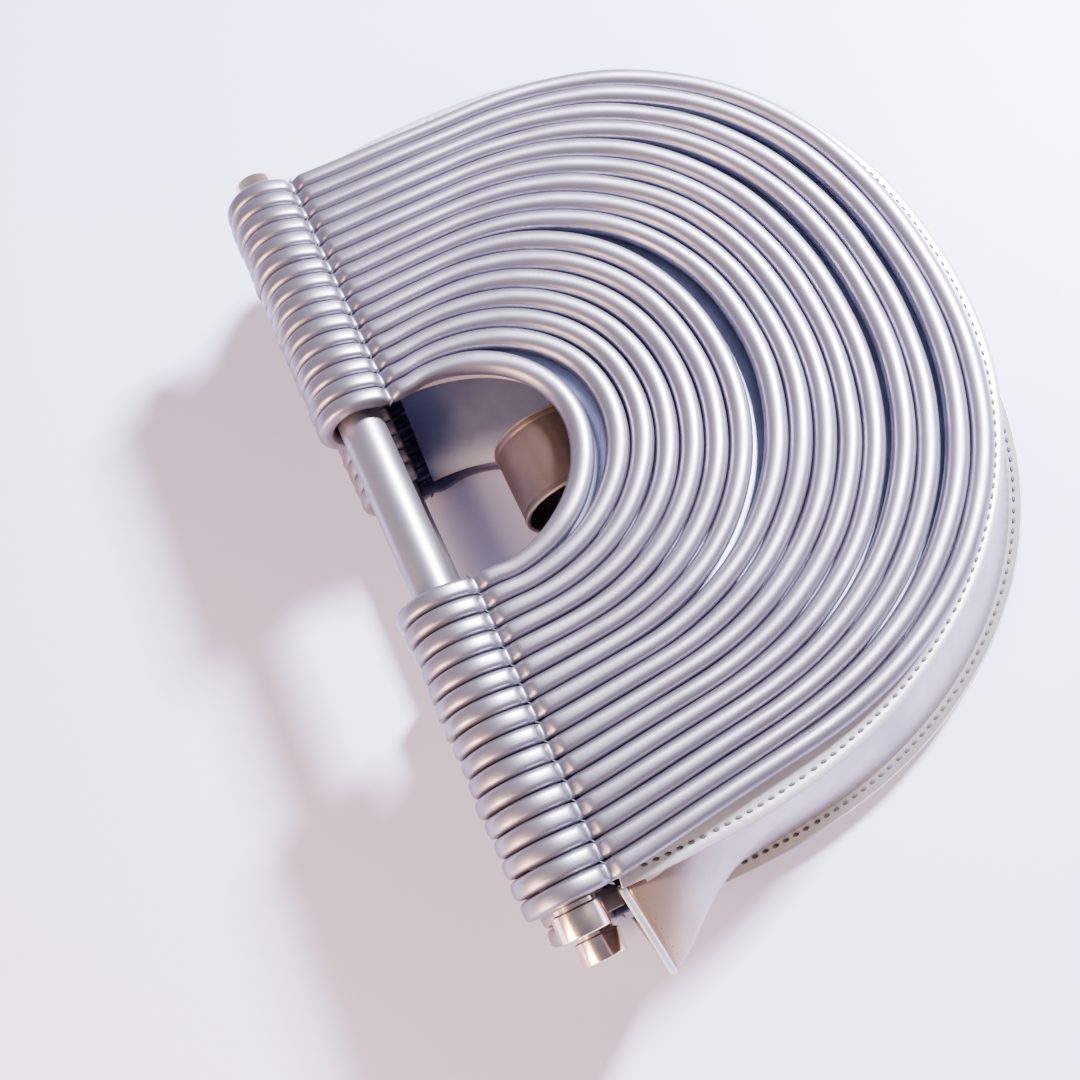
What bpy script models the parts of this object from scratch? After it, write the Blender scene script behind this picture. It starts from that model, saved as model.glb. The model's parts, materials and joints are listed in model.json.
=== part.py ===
"""Half moon handbag of silver ribbed leather, lying on its back panel.

Each panel is sixteen padded ribs, nested round a hand opening and wrapped over a covered rod.
The bare middle of each rod is the handle, with a rose gold cap at both ends. A smooth gusset
joins the two panels round the arc and opens as a folded wing at both ends of the mouth.

X runs along the rods, the mouth faces +Y, and the curved bottom of the bag points to -Y.
A panel is built in its own frame: u along the rod, v from the rod towards the curved bottom,
n out of the bag, with the rod's axis at v = n = 0.
"""
import math

import bmesh
import bpy
from mathutils import Matrix, Vector

MM = 0.001
GAP = 0.3 * MM

# Rods and caps
ROD_RADIUS = 9.6 * MM
ROD_SIDES = 18
HANDLE_LENGTH = 84 * MM
CAP_RADIUS = ROD_RADIUS + 0.3 * MM
CAP_LENGTH = 11.5 * MM
CAP_EDGE = 0.6 * MM
NECK_RADIUS = ROD_RADIUS - 1.2 * MM
NECK_LENGTH = 1.8 * MM
CAP_SIDES = 16
SMOOTH_ANGLE = math.radians(40)

# Ribs: their pitch along the rod, their step at the apex, and the bare gap between two at each
RIB_COUNT = 16
RIB_PITCH = 7.8 * MM
RIB_STEP = 11.0 * MM
RIB_GAP_AT_ROD = 0.5 * MM
RIB_GAP_AT_APEX = 1.1 * MM
RIB_RADIUS_AT_ROD = (RIB_PITCH - RIB_GAP_AT_ROD) / 2
RIB_RADIUS_AT_APEX = (RIB_STEP - RIB_GAP_AT_APEX) / 2
GROUP_LENGTH = RIB_COUNT * RIB_PITCH
ROD_LENGTH = HANDLE_LENGTH + 2 * GROUP_LENGTH

# Apex depths of the ribs, with the wider gaps of the photograph after ribs 1, 7, 12 and 14
FIRST_RIB_DEPTH = 81.5 * MM
WIDE_GAPS = {1: 5.5 * MM, 7: 6.5 * MM, 12: 3.5 * MM, 14: 3.5 * MM}

# First and last rib: how much they widen below the rod, how deep that is, and the arc's power
RIB_SPREAD = (1.1 * MM, 0.1 * MM)
RIB_SHOULDER = (29 * MM, 100 * MM)
ARC_POWER = (2.0, 2.2)
SHORT_RIBS = 6
ARC_STEPS = (4, 5)
SIDE_STEPS = 2

# Wrap of a rib round its rod: three flat turns of a six-sided tube, clear of the rod by GAP
WRAP_ANGLES = (-90, -30, 30, 90)
HALF_TURN = math.radians(30)
WRAP_RADIUS = (ROD_RADIUS + RIB_RADIUS_AT_ROD * math.cos(HALF_TURN) + GAP) / math.cos(HALF_TURN)
WRAP_OUTER = WRAP_RADIUS + RIB_RADIUS_AT_ROD
TAIL_REACH = 12 * MM
TAIL_RISE = 1.2 * MM
SEAM_REACH = 14 * MM
SEAM_LEVEL = WRAP_RADIUS - 2.3 * MM
RIB_LEVEL = WRAP_RADIUS - 3.3 * MM
FAN_START = 24 * MM

# Leather sheet behind the ribs, whose rim is the stitched flange
SHEET_THICKNESS = 1.4 * MM
SHEET_START = 17 * MM
SHEET_TOP = RIB_LEVEL - RIB_RADIUS_AT_APEX - GAP
SHEET_UNDER = SHEET_TOP - SHEET_THICKNESS
SHEET_SEGMENTS = 28
SHEET_SIDE_STEPS = 4
RIM_BESIDE_AT_ROD = 3.2 * MM
RIM_BESIDE = 14 * MM
RIM_BELOW = 17 * MM
RIM_SHOULDER = 90 * MM
RIM_POWER = 2.15

# Gusset between the flanges, and its wings at the mouth
GUSSET_THICKNESS = 1.2 * MM
SEAM_GAP = 0.4 * MM
SEAM_ALLOWANCE = 6.5 * MM
GUSSET_INSET = 1.0 * MM
WING_REACH = 28 * MM
WING_FADE = 34 * MM
WING_SET_BACK = 9 * MM
GUSSET_SINK = 6 * MM
GUSSET_SEGMENTS = 28
GUSSET_SIDE_STEPS = 5
BINDING_WIDTH = 3.2 * MM
BINDING_BARE_SHARE = 0.08
BINDING_TIP_SHARE = 0.93

# Lie of the two panels: the height of the front rod, slopes, sideways leans and offsets
FRONT_ROD_HEIGHT = 75 * MM
FRONT_SLOPE = math.radians(8.6)
FRONT_LEAN = 0.13
BACK_SLOPE = math.radians(0.45)
BACK_LEAN = 0.06
ROD_SHIFT = 6 * MM
BACK_ROD_SET_BACK = 1 * MM

# Closing strap inside the hand opening, measured from the opening's deepest point
STRAP_WIDTH = 36 * MM
STRAP_THICKNESS = 2.2 * MM
STRAP_TURN_BEFORE = 8.5 * MM
STRAP_END_BEYOND = 22.5 * MM
STRAP_NOSE_SHARE = 0.95
STRAP_ARC_STEPS = 12
STRAP_OFFSET = 7 * MM

# Small strap end beside the lower mouth corner
TAB_SIZE = (8 * MM, 12 * MM, 3 * MM)
TAB_CENTRE_V = 19 * MM
FITTING_RADIUS = 3.2 * MM
FITTING_LENGTH = 7.5 * MM
FITTING_SIDES = 8


def blend(pair, share):
    """Value between the two of a pair."""
    return pair[0] + (pair[1] - pair[0]) * share


def ease(share):
    """Smooth step from 0 to 1."""
    return share * share * (3 - 2 * share)


def panel_matrix(side):
    """Place of a panel's frame: side is 1 for the front and -1 for the back."""
    if side > 0:
        turn = Matrix.Rotation(FRONT_SLOPE, 4, 'X')
        place = Vector((ROD_SHIFT, 0, FRONT_ROD_HEIGHT))
    else:
        turn = Matrix.Rotation(BACK_SLOPE, 4, 'X')
        place = Vector((-ROD_SHIFT, -BACK_ROD_SET_BACK, WRAP_OUTER))
    return Matrix.Translation(place) @ turn @ Matrix.Diagonal((1, -1, side, 1))


def lean(side, v):
    """Sideways shift of a panel at depth v."""
    return (FRONT_LEAN if side > 0 else BACK_LEAN) * max(v - SHEET_START, 0)


def at_rod(number):
    """Place of a rib along its rod, numbered from 1 at the hand opening."""
    return HANDLE_LENGTH / 2 + (number - 0.5) * RIB_PITCH


def rib_depth(number):
    """Apex depth of a rib."""
    gaps = sum(gap for after, gap in WIDE_GAPS.items() if number > after)
    return FIRST_RIB_DEPTH + (number - 1) * RIB_STEP + gaps


def arch(start, half_width, shoulder, depth, power, side_steps, arc_steps):
    """Half of a nested arch, from the rod to the apex: a bulging side, then a rounded end.

    start is the first point's (u, v). Returns (u, v, share), with share 0 on the side and
    1 at the apex.
    """
    points = []
    for i in range(side_steps):
        share = i / side_steps
        u = start[0] + (half_width - start[0]) * math.sin(share * math.pi / 2)
        points.append((u, start[1] + (shoulder - start[1]) * share, 0.0))
    for i in range(arc_steps + 1):
        angle = i / arc_steps * math.pi / 2
        u = half_width * math.cos(angle) ** (2 / power)
        v = shoulder + (depth - shoulder) * math.sin(angle) ** (2 / power)
        points.append((u, v, i / arc_steps))
    return points


def mirrored(half):
    """Whole line in (u, v) from the half on the right, the apex once."""
    return [(u, v) for u, v, s in half] + [(-u, v) for u, v, s in reversed(half[:-1])]


def rim_line(start_v, side_steps, segments):
    """Outer edge of the leather sheet, from the right end round the apex to the left."""
    start = (at_rod(RIB_COUNT + 0.5) + RIM_BESIDE_AT_ROD, start_v)
    half_width = at_rod(RIB_COUNT) + RIB_SPREAD[1] + RIM_BESIDE
    return mirrored(arch(start, half_width, RIM_SHOULDER, rib_depth(RIB_COUNT) + RIM_BELOW, RIM_POWER,
                         side_steps, segments // 2 - side_steps))


def opening_line():
    """Edge of the hand opening in the leather sheet, under the first rib."""
    start = (at_rod(1), SHEET_START)
    return mirrored(arch(start, start[0], SHEET_START, FIRST_RIB_DEPTH, ARC_POWER[0], 0,
                         SHEET_SEGMENTS // 2))


def rib_half(number):
    """Half of a rib's centre line in its panel's frame, with its share of the way to the apex."""
    share = (number - 1) / (RIB_COUNT - 1)
    u = at_rod(number)
    points = [(u, TAIL_REACH, TAIL_RISE - WRAP_RADIUS, 0.0)]
    for degrees in WRAP_ANGLES:
        angle = math.radians(degrees)
        points.append((u, -WRAP_RADIUS * math.cos(angle), WRAP_RADIUS * math.sin(angle), 0.0))
    points.append((u, SEAM_REACH, SEAM_LEVEL, 0.0))
    outline = arch((u, FAN_START), u + blend(RIB_SPREAD, share), blend(RIB_SHOULDER, share),
                   rib_depth(number), blend(ARC_POWER, share), SIDE_STEPS,
                   ARC_STEPS[0 if number <= SHORT_RIBS else 1])
    return points + [(u, v, RIB_LEVEL, s) for u, v, s in outline]


def tube(name, points, radii, matrix, material, collection, twist='Z_UP'):
    """Six-sided tube along points given in a panel's frame, as a curve with a bevel."""
    curve = bpy.data.curves.new(name, 'CURVE')
    curve.dimensions = '3D'
    curve.twist_mode = twist
    curve.bevel_depth = 1.0
    curve.bevel_resolution = 1
    curve.use_fill_caps = True
    spline = curve.splines.new('POLY')
    spline.points.add(len(points) - 1)
    for target, point, radius in zip(spline.points, points, radii):
        target.co = (*(matrix @ Vector(point)), 1)
        target.radius = radius
    curve.materials.append(material)
    obj = bpy.data.objects.new(name, curve)
    collection.objects.link(obj)


def mesh_object(name, bm, matrix, material, collection):
    """Object from a bmesh, moved by a matrix, with its faces pointing out."""
    bmesh.ops.transform(bm, matrix=matrix, verts=bm.verts)
    bmesh.ops.recalc_face_normals(bm, faces=bm.faces)
    mesh = bpy.data.meshes.new(name)
    bm.to_mesh(mesh)
    bm.free()
    mesh.materials.append(material)
    obj = bpy.data.objects.new(name, mesh)
    collection.objects.link(obj)
    return obj


def smooth(obj):
    """Smooth shading with sharp corners kept."""
    obj.data.shade_smooth()
    obj.data.set_sharp_from_angle(angle=SMOOTH_ANGLE)


def thicken(obj, thickness):
    """Gives an open surface its thickness, half to each side."""
    solidify = obj.modifiers.new('Thickness', 'SOLIDIFY')
    solidify.thickness = thickness
    solidify.offset = 0


def bridge(bm, first, second):
    """Quads between two rows of vertices."""
    for i in range(len(first) - 1):
        bm.faces.new((first[i], first[i + 1], second[i + 1], second[i]))


def rib(number, side, material, collection):
    """One padded rib: round the rod at both ends and round the arch between them."""
    half = rib_half(number)
    whole = half + [(-u, v, n, s) for u, v, n, s in reversed(half[:-1])]
    points = [(u + lean(side, v), v, n) for u, v, n, s in whole]
    radii = [blend((RIB_RADIUS_AT_ROD, RIB_RADIUS_AT_APEX), ease(s) ** 2) for u, v, n, s in whole]
    name = '%s_rib_%02d' % ('front' if side > 0 else 'back', number)
    tube(name, points, radii, panel_matrix(side), material, collection)


def rod(side, material, collection):
    """Leather covered rod, whose middle is the handle."""
    bm = bmesh.new()
    bmesh.ops.create_cone(bm, cap_ends=True, segments=ROD_SIDES, radius1=ROD_RADIUS, radius2=ROD_RADIUS,
                          depth=ROD_LENGTH)
    name = 'front_rod' if side > 0 else 'back_rod'
    matrix = panel_matrix(side) @ Matrix.Rotation(math.pi / 2, 4, 'Y')
    smooth(mesh_object(name, bm, matrix, material, collection))


def cap(side, end, material, collection):
    """Metal cap: a short neck against the rod's end and a round head."""
    profile = ((0, 0), (NECK_RADIUS, 0), (NECK_RADIUS, NECK_LENGTH), (CAP_RADIUS, NECK_LENGTH),
               (CAP_RADIUS, CAP_LENGTH - CAP_EDGE), (CAP_RADIUS - CAP_EDGE, CAP_LENGTH), (0, CAP_LENGTH))
    bm = bmesh.new()
    verts = [bm.verts.new((r, 0, z)) for r, z in profile]
    edges = [bm.edges.new(pair) for pair in zip(verts, verts[1:])]
    bmesh.ops.spin(bm, geom=verts + edges, cent=(0, 0, 0), axis=(0, 0, 1), angle=2 * math.pi,
                   steps=CAP_SIDES, use_merge=True)
    bmesh.ops.remove_doubles(bm, verts=bm.verts, dist=0.01 * MM)
    facing = Matrix.Rotation(end * math.pi / 2, 4, 'Y')
    place = Matrix.Translation((end * (ROD_LENGTH / 2 + GAP), 0, 0)) @ facing
    name = '%s_cap_%s' % ('front' if side > 0 else 'back', 'right' if end > 0 else 'left')
    smooth(mesh_object(name, bm, panel_matrix(side) @ place, material, collection))


def sheet(side, material, collection):
    """Leather sheet behind the ribs, a flat outline with the hand opening left out."""
    bm = bmesh.new()
    loop = []
    for level, outer in ((SHEET_TOP, True), (SHEET_TOP, False), (SHEET_UNDER, False), (SHEET_UNDER, True)):
        line = rim_line(SHEET_START, SHEET_SIDE_STEPS, SHEET_SEGMENTS) if outer else opening_line()
        loop.append([bm.verts.new((u + lean(side, v), v, level)) for u, v in line])
    for first, second in zip(loop, loop[1:] + loop[:1]):
        bridge(bm, first, second)
    for end in (0, -1):
        bm.faces.new([row[end] for row in loop])
    name = 'front_backing' if side > 0 else 'back_backing'
    mesh_object(name, bm, panel_matrix(side), material, collection)


def gusset_line():
    """Points of the rim for the gusset, each with its direction outwards, in (u, v)."""
    points = rim_line(SHEET_START + GAP, GUSSET_SIDE_STEPS, GUSSET_SEGMENTS)
    line = []
    for i, point in enumerate(points):
        before = points[max(i - 1, 0)]
        after = points[min(i + 1, len(points) - 1)]
        du, dv = after[0] - before[0], after[1] - before[1]
        length = math.hypot(du, dv)
        line.append((point, (dv / length, -du / length)))
    return line


def flange_point(side, point, across, inset):
    """Point of the gusset under a sheet's rim, drawn in from the rim's edge."""
    u = point[0] - across[0] * inset
    v = point[1] - across[1] * inset
    level = SHEET_UNDER - SEAM_GAP - GUSSET_THICKNESS / 2
    return panel_matrix(side) @ Vector((u + lean(side, v), v, level))


def gusset_rows():
    """Rows of the gusset from the front flange over the fold to the back flange."""
    line = gusset_line()
    lengths = [0.0]
    for (first, _), (second, _) in zip(line, line[1:]):
        lengths.append(lengths[-1] + math.dist(first, second))
    rows = [[], [], [], [], []]
    for (point, across), length in zip(line, lengths):
        from_end = min(length, lengths[-1] - length)
        wing = math.exp(-(from_end / WING_FADE) ** 2)
        front = flange_point(1, point, across, GUSSET_INSET)
        back = flange_point(-1, point, across, GUSSET_INSET)
        reach = blend((-GUSSET_SINK, WING_REACH), wing)
        fold = (front + back) / 2
        fold += Vector((across[0] * reach, -across[1] * reach - WING_SET_BACK * wing, 0))
        rows[0].append(flange_point(1, point, across, SEAM_ALLOWANCE))
        rows[1].append(front)
        rows[2].append(fold)
        rows[3].append(back)
        rows[4].append(flange_point(-1, point, across, SEAM_ALLOWANCE))
    return rows


def gusset(material, collection):
    """Smooth side strip, folded inwards round the arc and outwards at the wings."""
    bm = bmesh.new()
    rows = [[bm.verts.new(point) for point in row] for row in gusset_rows()]
    for first, second in zip(rows, rows[1:]):
        bridge(bm, first, second)
    thicken(mesh_object('gusset', bm, Matrix.Identity(4), material, collection), GUSSET_THICKNESS)


def wing_binding(end, material, collection):
    """Bound edge of a wing, a tube along the V of the gusset's mouth edge, with a blunt tip."""
    column = -1 if end < 0 else 0
    front, fold, back = [row[column] for row in gusset_rows()[1:4]]
    clear = Vector((0, GUSSET_THICKNESS / 2 + BINDING_WIDTH / 2 + GAP, 0))
    points = [front.lerp(fold, BINDING_BARE_SHARE), front.lerp(fold, BINDING_TIP_SHARE),
              back.lerp(fold, BINDING_TIP_SHARE), back.lerp(fold, BINDING_BARE_SHARE)]
    name = 'wing_binding_right' if end > 0 else 'wing_binding_left'
    tube(name, [point + clear for point in points], [BINDING_WIDTH / 2] * len(points),
         Matrix.Identity(4), material, collection, 'MINIMUM')


def inner_strap(material, collection):
    """Closing strap: a band that turns over between the two panels inside the hand opening."""
    level = SHEET_UNDER - SEAM_GAP - STRAP_THICKNESS / 2
    ends = []
    for side in (1, -1):
        for v in (FIRST_RIB_DEPTH + STRAP_END_BEYOND, FIRST_RIB_DEPTH - STRAP_TURN_BEFORE):
            end = panel_matrix(side) @ Vector((0, v, level))
            ends.append(Vector((0, end.y, end.z)))
    front_end, front_turn, back_end, back_turn = ends
    middle = (front_turn.z + back_turn.z) / 2
    half_height = (front_turn.z - back_turn.z) / 2
    line = [front_end]
    for i in range(STRAP_ARC_STEPS + 1):
        angle = math.pi / 2 - i / STRAP_ARC_STEPS * math.pi
        y = blend((back_turn.y, front_turn.y), (math.sin(angle) + 1) / 2)
        y += STRAP_NOSE_SHARE * half_height * math.cos(angle)
        line.append(Vector((0, y, middle + half_height * math.sin(angle))))
    line.append(back_end)
    bm = bmesh.new()
    rows = []
    for offset in (-STRAP_WIDTH / 2, STRAP_WIDTH / 2):
        rows.append([bm.verts.new(point + Vector((STRAP_OFFSET + offset, 0, 0))) for point in line])
    bridge(bm, rows[0], rows[1])
    thicken(mesh_object('closing_strap', bm, Matrix.Identity(4), material, collection), STRAP_THICKNESS)


def strap_end(leather, metal, collection):
    """Small dark leather end and its gold fitting, beside the left end of the front rod."""
    width, length, thickness = TAB_SIZE
    u = -(ROD_LENGTH + width) / 2 - GAP
    bm = bmesh.new()
    bmesh.ops.create_cube(bm, size=1, matrix=Matrix.Diagonal((width, length, thickness, 1)))
    place = Matrix.Translation((u, TAB_CENTRE_V - length / 2, -WRAP_RADIUS))
    mesh_object('strap_end', bm, panel_matrix(1) @ place, leather, collection)
    bm = bmesh.new()
    bmesh.ops.create_cone(bm, cap_ends=True, segments=FITTING_SIDES, radius1=FITTING_RADIUS,
                          radius2=FITTING_RADIUS, depth=FITTING_LENGTH)
    place = Matrix.Translation((u, TAB_CENTRE_V + FITTING_LENGTH / 2 + GAP, -WRAP_RADIUS))
    turn = Matrix.Rotation(math.pi / 2, 4, 'X')
    mesh_object('strap_end_fitting', bm, panel_matrix(1) @ place @ turn, metal, collection)


def new_material(name, colour, roughness, metallic):
    """Plain Principled material."""
    material = bpy.data.materials.new(name)
    material.use_nodes = True
    shader = material.node_tree.nodes['Principled BSDF']
    shader.inputs['Base Color'].default_value = (*colour, 1)
    shader.inputs['Roughness'].default_value = roughness
    shader.inputs['Metallic'].default_value = metallic
    return material


def stand_on_origin(collection):
    """Moves the bag so that its box's bottom centre is at the origin."""
    bpy.context.view_layer.update()
    depsgraph = bpy.context.evaluated_depsgraph_get()
    corners = []
    for obj in collection.objects:
        evaluated = obj.evaluated_get(depsgraph)
        mesh = evaluated.to_mesh()
        corners += [evaluated.matrix_world @ vertex.co for vertex in mesh.vertices]
        evaluated.to_mesh_clear()
    low = [min(corner[axis] for corner in corners) for axis in range(3)]
    high = [max(corner[axis] for corner in corners) for axis in range(3)]
    for obj in collection.objects:
        obj.location -= Vector(((low[0] + high[0]) / 2, (low[1] + high[1]) / 2, low[2]))


def build():
    """Clears the scene and models the handbag."""
    for obj in list(bpy.data.objects):
        bpy.data.objects.remove(obj, do_unlink=True)
    collection = bpy.data.collections.new('half_moon_handbag')
    bpy.context.scene.collection.children.link(collection)

    silver = new_material('silver_leather', (0.52, 0.50, 0.56), 0.34, 0.75)
    lining = new_material('backing_leather', (0.20, 0.21, 0.29), 0.45, 0.5)
    pearl = new_material('smooth_leather', (0.66, 0.62, 0.62), 0.38, 0.6)
    gold = new_material('rose_gold', (0.85, 0.62, 0.47), 0.12, 1.0)
    dark = new_material('dark_leather', (0.10, 0.085, 0.10), 0.5, 0.0)

    for side in (1, -1):
        for number in range(1, RIB_COUNT + 1):
            rib(number, side, silver, collection)
        rod(side, silver, collection)
        for end in (-1, 1):
            cap(side, end, gold, collection)
        sheet(side, lining, collection)
    gusset(pearl, collection)
    for end in (-1, 1):
        wing_binding(end, pearl, collection)
    inner_strap(pearl, collection)
    strap_end(dark, gold, collection)
    stand_on_origin(collection)


build()
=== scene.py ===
# %% [markdown]
# # A half moon handbag of silver ribbed leather
# Two panels of padded ribs are wrapped over two covered rods, and a smooth gusset joins them.
# The bag lies on its back panel. Its solids, sizes and places come from the frame, and this
# lesson gives every piece its leather, its seams and its metal.

# %% Load the frame
import json
import math
import random

import bmesh
import bpy
import numpy as np
from mathutils import Matrix, Vector

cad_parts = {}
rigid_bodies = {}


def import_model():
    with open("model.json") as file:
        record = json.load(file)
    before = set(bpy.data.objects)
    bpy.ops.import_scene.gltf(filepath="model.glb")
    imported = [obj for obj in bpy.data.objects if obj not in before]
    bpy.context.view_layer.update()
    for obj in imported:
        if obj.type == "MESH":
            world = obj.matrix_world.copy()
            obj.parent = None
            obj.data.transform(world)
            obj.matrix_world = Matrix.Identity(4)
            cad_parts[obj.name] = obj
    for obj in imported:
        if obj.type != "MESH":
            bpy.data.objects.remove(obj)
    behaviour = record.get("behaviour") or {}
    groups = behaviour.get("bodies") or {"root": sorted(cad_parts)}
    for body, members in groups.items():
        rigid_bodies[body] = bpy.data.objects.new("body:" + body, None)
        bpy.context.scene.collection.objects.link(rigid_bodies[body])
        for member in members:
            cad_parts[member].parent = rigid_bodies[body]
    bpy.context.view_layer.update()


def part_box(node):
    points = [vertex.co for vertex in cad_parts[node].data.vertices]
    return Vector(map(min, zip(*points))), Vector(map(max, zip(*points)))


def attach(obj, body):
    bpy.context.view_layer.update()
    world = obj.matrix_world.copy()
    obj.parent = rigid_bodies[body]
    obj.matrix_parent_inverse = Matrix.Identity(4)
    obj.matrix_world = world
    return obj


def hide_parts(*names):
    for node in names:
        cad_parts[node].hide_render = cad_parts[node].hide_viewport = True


for leftover in list(bpy.data.objects):
    bpy.data.objects.remove(leftover, do_unlink=True)
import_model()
MM = 0.001
random.seed(7)

# %% [markdown]
# ## Where the panels lie
# Each panel has its own frame: u along its rod, v from the rod towards the curved bottom, and n
# out of the bag. The rods' boxes say where the two frames start. The slope and the sideways lean
# of a panel, and the sizes of the ribs below, are written here as they are in the solids.

# %% Frames of the two panels
PANELS = {"front": {"side": 1, "slope": math.radians(8.6), "lean": 0.13},
          "back": {"side": -1, "slope": math.radians(0.45), "lean": 0.06}}
SHEET_START = 17 * MM


def middle(node):
    """Middle of a node's box."""
    low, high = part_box(node)
    return (low + high) / 2


for name, panel in PANELS.items():
    turn = Matrix.Rotation(panel["slope"], 4, "X")
    axes = Matrix.Diagonal((1, -1, panel["side"], 1))
    panel["matrix"] = Matrix.Translation(middle(name + "_rod")) @ turn @ axes


def lean(panel, v):
    """Sideways shift of a panel at depth v, in numbers or arrays."""
    return panel["lean"] * np.maximum(v - SHEET_START, 0)


rod_low, rod_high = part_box("front_rod")
ROD_LENGTH = rod_high.x - rod_low.x
print("rod length, mm:", round(ROD_LENGTH / MM, 1))

# %% [markdown]
# ## Camera
# The photograph looks down at the bag from the left of its mouth, about 70 degrees above the
# table, through a fairly wide lens. Place and turn were fitted to it.

# %% Camera
camera_data = bpy.data.cameras.new("camera")
camera_data.lens = 35
camera_data.sensor_width = 36
camera = bpy.data.objects.new("camera", camera_data)
bpy.context.scene.collection.objects.link(camera)
camera.location = middle("front_rod") + Vector((-174.4, -15.5, 397.0)) * MM
camera.rotation_euler = [math.radians(angle) for angle in (19.11, 4.19, -114.65)]
camera_data.clip_start = 0.01
bpy.context.scene.camera = camera

# %% [markdown]
# ## Floor and light
# A pale floor, a small lamp from the bottom of the bag that gives the shadows an edge, a weak
# warm lamp from the mouth, and a sky that is dimmer towards -X. The warm lamp gives the flanks
# of the ribs their peach tone, as a table lamp would.

# %% Floor
FLOOR_HALF = 4.0
FLOOR_LEVEL = -0.2 * MM
floor_bm = bmesh.new()
bmesh.ops.create_grid(floor_bm, x_segments=1, y_segments=1, size=FLOOR_HALF,
                      matrix=Matrix.Translation((0, 0, FLOOR_LEVEL)))
floor_mesh = bpy.data.meshes.new("floor")
floor_bm.to_mesh(floor_mesh)
floor_bm.free()
floor = bpy.data.objects.new("floor", floor_mesh)
bpy.context.scene.collection.objects.link(floor)
floor_material = bpy.data.materials.new("floor")
floor_material.use_nodes = True
floor_shader = floor_material.node_tree.nodes["Principled BSDF"]
floor_shader.inputs["Base Color"].default_value = (0.66, 0.67, 1.0, 1)
floor_shader.inputs["Roughness"].default_value = 0.55
floor_mesh.materials.append(floor_material)

# %% Lamps and sky


def lamp(name, azimuth, elevation, distance, size, power, colour):
    """Square area lamp that looks at the bag; azimuth 0 is +X and 90 is +Y, in degrees."""
    data = bpy.data.lights.new(name, "AREA")
    data.shape = "SQUARE"
    data.size = size
    data.energy = power
    data.color = colour
    obj = bpy.data.objects.new(name, data)
    bpy.context.scene.collection.objects.link(obj)
    a, e = math.radians(azimuth), math.radians(elevation)
    direction = Vector((math.cos(a) * math.cos(e), math.sin(a) * math.cos(e), math.sin(e)))
    obj.location = direction * distance
    obj.rotation_euler = (-direction).to_track_quat("-Z", "Y").to_euler()


lamp("key", -62, 42, 1.35, 0.2, 152, (0.93, 0.945, 1.0))
lamp("warm", 120, 24, 1.5, 0.8, 70, (1.0, 0.66, 0.42))

world = bpy.data.worlds.new("soft_sky")
bpy.context.scene.world = world
world.use_nodes = True
sky = world.node_tree
background = sky.nodes["Background"]
coordinates = sky.nodes.new("ShaderNodeTexCoord")
split = sky.nodes.new("ShaderNodeSeparateXYZ")
ramp = sky.nodes.new("ShaderNodeValToRGB")
sky.links.new(coordinates.outputs["Generated"], split.inputs[0])
sky.links.new(split.outputs["Z"], ramp.inputs["Fac"])
ramp.color_ramp.elements[0].position = 0.0
ramp.color_ramp.elements[0].color = (0.86, 0.80, 0.95, 1)
ramp.color_ramp.elements[1].position = 0.9
ramp.color_ramp.elements[1].color = (0.30, 0.30, 0.40, 1)
sky.links.new(ramp.outputs["Color"], background.inputs["Color"])
dim_side = sky.nodes.new("ShaderNodeMapRange")
sky.links.new(split.outputs["X"], dim_side.inputs["Value"])
for label, number in (("From Min", -0.9), ("From Max", 0.2), ("To Min", 0.42), ("To Max", 0.95)):
    dim_side.inputs[label].default_value = number
sky.links.new(dim_side.outputs["Result"], background.inputs["Strength"])

# %% [markdown]
# ## Materials
# Metallic leather is pigment with tiny flakes over a fine grain. Two effects are node groups: a
# grain with slow changes of tone, which every leather has, and the small cross wrinkles of a
# strip that is rolled round a cord, which only the ribs have.

# %% Helpers for node trees


def make_group(name, inputs, outputs):
    """New shader node group with float or vector sockets."""
    group = bpy.data.node_groups.new(name, "ShaderNodeTree")
    for label, kind, value in inputs:
        socket = group.interface.new_socket(label, in_out="INPUT", socket_type=kind)
        if value is not None:
            socket.default_value = value
    for label, kind in outputs:
        group.interface.new_socket(label, in_out="OUTPUT", socket_type=kind)
    return group, group.nodes.new("NodeGroupInput"), group.nodes.new("NodeGroupOutput")


def noise(tree, vector, scale, detail, roughness=0.55):
    """Noise texture over a vector."""
    node = tree.nodes.new("ShaderNodeTexNoise")
    tree.links.new(vector, node.inputs["Vector"])
    node.inputs["Scale"].default_value = scale
    node.inputs["Detail"].default_value = detail
    node.inputs["Roughness"].default_value = roughness
    return node.outputs["Fac"]


def math_node(tree, operation, first, second):
    """Math node on sockets or numbers."""
    node = tree.nodes.new("ShaderNodeMath")
    node.operation = operation
    for slot, value in zip(node.inputs, (first, second)):
        if isinstance(value, (int, float)):
            slot.default_value = value
        else:
            tree.links.new(value, slot)
    return node.outputs[0]


def stretch(tree, vector, scale):
    """Mapping node that scales a vector."""
    node = tree.nodes.new("ShaderNodeMapping")
    node.inputs["Scale"].default_value = scale
    tree.links.new(vector, node.inputs["Vector"])
    return node.outputs["Vector"]


def spread(tree, value, low, high, to_low=0.0, to_high=1.0):
    """Map Range from low..high to to_low..to_high, with smooth ends."""
    node = tree.nodes.new("ShaderNodeMapRange")
    node.interpolation_type = "SMOOTHSTEP"
    tree.links.new(value, node.inputs["Value"])
    for label, number in (("From Min", low), ("From Max", high),
                          ("To Min", to_low), ("To Max", to_high)):
        node.inputs[label].default_value = number
    return node.outputs["Result"]


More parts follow.
